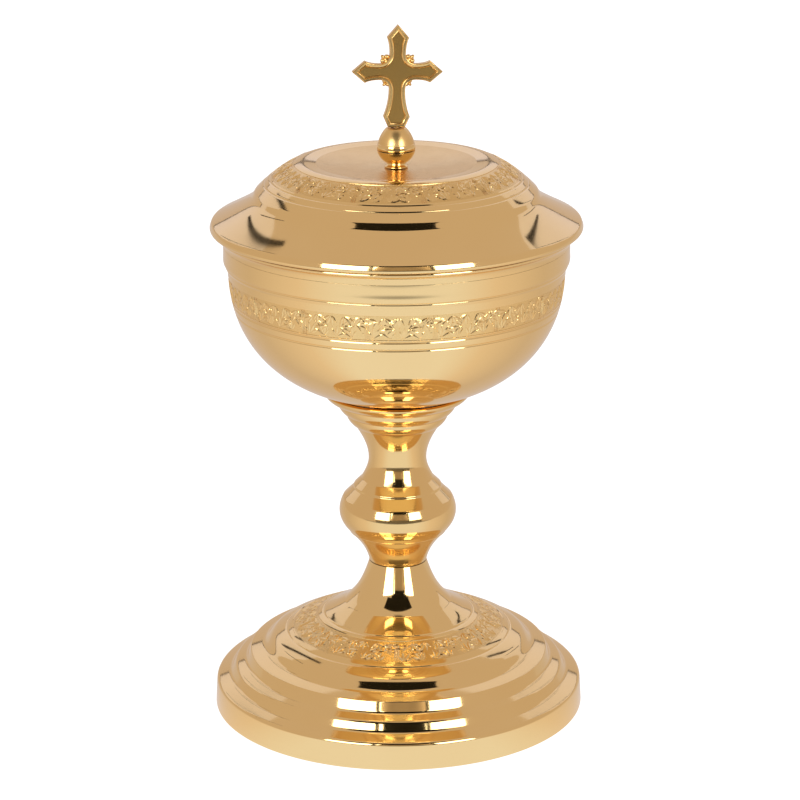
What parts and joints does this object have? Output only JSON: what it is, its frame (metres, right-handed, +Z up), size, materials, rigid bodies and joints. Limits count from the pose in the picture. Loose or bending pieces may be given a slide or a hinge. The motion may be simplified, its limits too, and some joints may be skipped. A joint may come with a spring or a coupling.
{
  "type": "ciborium",
  "caption": "Lidded standing cup on a stepped round foot, with a round knop on its stem and a lift-off domed lid topped by a small cross.",
  "frame": {"origin": "centre of the foot's underside, on the floor", "axes": "+Z up along the turning axis; +X along the arms of the cross; the cross faces -Y and +Y"},
  "size_m": [0.1292, 0.1292, 0.24],
  "materials": {
    "spun_gilt": "polished gilt",
    "turned_gilt": "polished gilt",
    "cast_gilt": "satin gilt",
    "plain_brass": "plain turned brass",
    "zinc_steel": "zinc plated"
  },
  "bodies": {
    "cup": {"foot_shell": "spun_gilt", "stem_washer": "zinc_steel", "spring_washer": "zinc_steel", "tie_rod_nut": "zinc_steel", "tie_rod": "zinc_steel", "knop_stem": "turned_gilt", "cup_boss": "plain_brass", "cup_bowl": "spun_gilt", "cup_rim_band": "spun_gilt"},
    "lid": {"lid_shell": "spun_gilt", "lid_locating_ring": "spun_gilt", "knob_base": "turned_gilt", "knob_cap": "turned_gilt", "cross": "cast_gilt", "cross_stud": "plain_brass", "finial_washer": "plain_brass", "finial_lock_washer": "plain_brass", "finial_nut": "plain_brass"}
  },
  "joints": [
    {"name": "lid_lift", "type": "slide", "parent": "cup", "child": "lid", "axis": [0, 0, 1], "range_m": [0, 0.12]}
  ]
}
